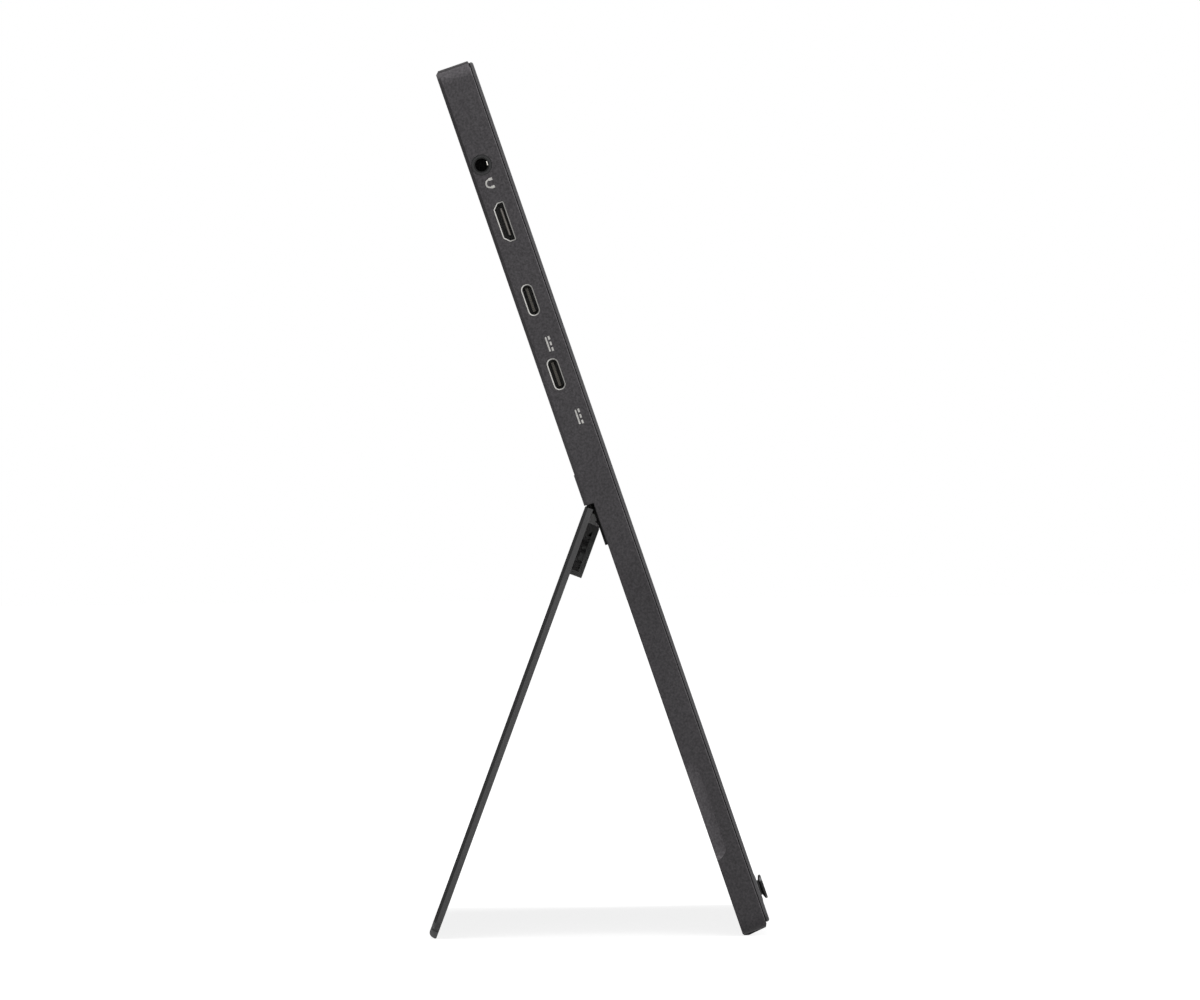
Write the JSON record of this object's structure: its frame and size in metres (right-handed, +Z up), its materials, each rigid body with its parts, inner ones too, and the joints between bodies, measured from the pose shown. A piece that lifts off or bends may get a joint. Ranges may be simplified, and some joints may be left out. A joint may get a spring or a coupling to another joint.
{
  "type": "portable monitor",
  "caption": "Slim portable monitor that leans back on a full-width fold-out stand leaf, with side sockets and a front joystick.",
  "frame": {"origin": "on the desk surface, in the middle of the standing footprint", "axes": "+X to the user's right, +Y from the screen towards the stand, +Z up"},
  "size_m": [0.358, 0.0925, 0.2387],
  "materials": {
    "housing": "fine sandy matt moulding",
    "bezel": "smooth satin moulding",
    "tape": "black adhesive foam",
    "screen": "anti-glare dark panel glass",
    "light_guide": "clear acrylic",
    "led_strip": "white flexible strip",
    "tray": "pressed sheet",
    "board": "glass-fibre board with green solder mask",
    "can": "tinned sheet",
    "socket_steel": "plated shell",
    "socket_plastic": "black insulator with contact rows",
    "jack_plastic": "black moulding",
    "contact_brass": "plated spring strip",
    "cable": "amber flexible film",
    "switch_plastic": "black moulding",
    "switch_steel": "spring sheet",
    "screw_steel": "blackened steel",
    "guide": "black sliding plastic",
    "pad": "friction lining",
    "foot_rubber": "matt rubber",
    "leaf_skin": "blasted and anodised charcoal sheet",
    "leaf_inner": "fine matt moulding",
    "leaf_rubber": "matt rubber",
    "arm": "bead-blasted casting",
    "cover": "matt moulding",
    "stick_cap": "soft-touch black"
  },
  "bodies": {
    "monitor": {"rear_housing": "housing", "front_bezel": "bezel", "bezel_tape": "tape", "lcd_cell": "screen", "light_guide": "light_guide", "led_bar": "led_strip", "panel_tray": "tray", "panel_board": "board", "main_board": "board", "shield_can": "can", "usb_c_shell_upper": "socket_steel", "usb_c_shell_lower": "socket_steel", "usb_c_tongue_upper": "socket_plastic", "usb_c_tongue_lower": "socket_plastic", "hdmi_shell": "socket_steel", "hdmi_tongue": "socket_plastic", "headphone_jack": "jack_plastic", "jack_contacts": "contact_brass", "display_cable": "cable", "key_cable": "cable", "key_board": "board", "joystick_base": "switch_plastic", "click_dome": "switch_steel", "board_screws": "screw_steel", "hinge_guide_left": "guide", "hinge_guide_right": "guide", "guide_screws": "screw_steel", "friction_pad_left": "pad", "friction_pad_right": "pad", "foot_left": "foot_rubber", "foot_right": "foot_rubber"},
    "stand": {"stand_skin": "leaf_skin", "stand_inner_plate": "leaf_inner", "stand_foot": "leaf_rubber", "hinge_arm_left": "arm", "hinge_arm_right": "arm", "hinge_cover_left": "cover", "hinge_cover_right": "cover", "arm_screws": "screw_steel"},
    "stick_ring": {"joystick_rocker": "switch_plastic"},
    "stick_post": {"joystick_stem": "switch_plastic"},
    "stick_button": {"joystick_cap": "stick_cap"}
  },
  "joints": [
    {"name": "stand_hinge", "type": "hinge", "parent": "monitor", "child": "stand", "pos_m": [0, 0.00269, 0.11722], "axis": [1, 0, 0], "range_deg": [-39.2, 35.8]},
    {"name": "joystick_up_down", "type": "hinge", "parent": "monitor", "child": "stick_ring", "pos_m": [-0.15, -0.04113, 0.01146], "axis": [1, 0, 0], "range_deg": [-4, 4], "stiffness_Nm_per_rad": 0.06},
    {"name": "joystick_left_right", "type": "hinge", "parent": "stick_ring", "child": "stick_post", "pos_m": [-0.15, -0.04113, 0.01146], "axis": [0, 0.3173, 0.9483], "range_deg": [-4, 4], "stiffness_Nm_per_rad": 0.06},
    {"name": "joystick_press", "type": "slide", "parent": "stick_post", "child": "stick_button", "axis": [0, 0.9483, -0.3173], "range_m": [0, 0.0002], "stiffness_N_per_m": 4000}
  ]
}
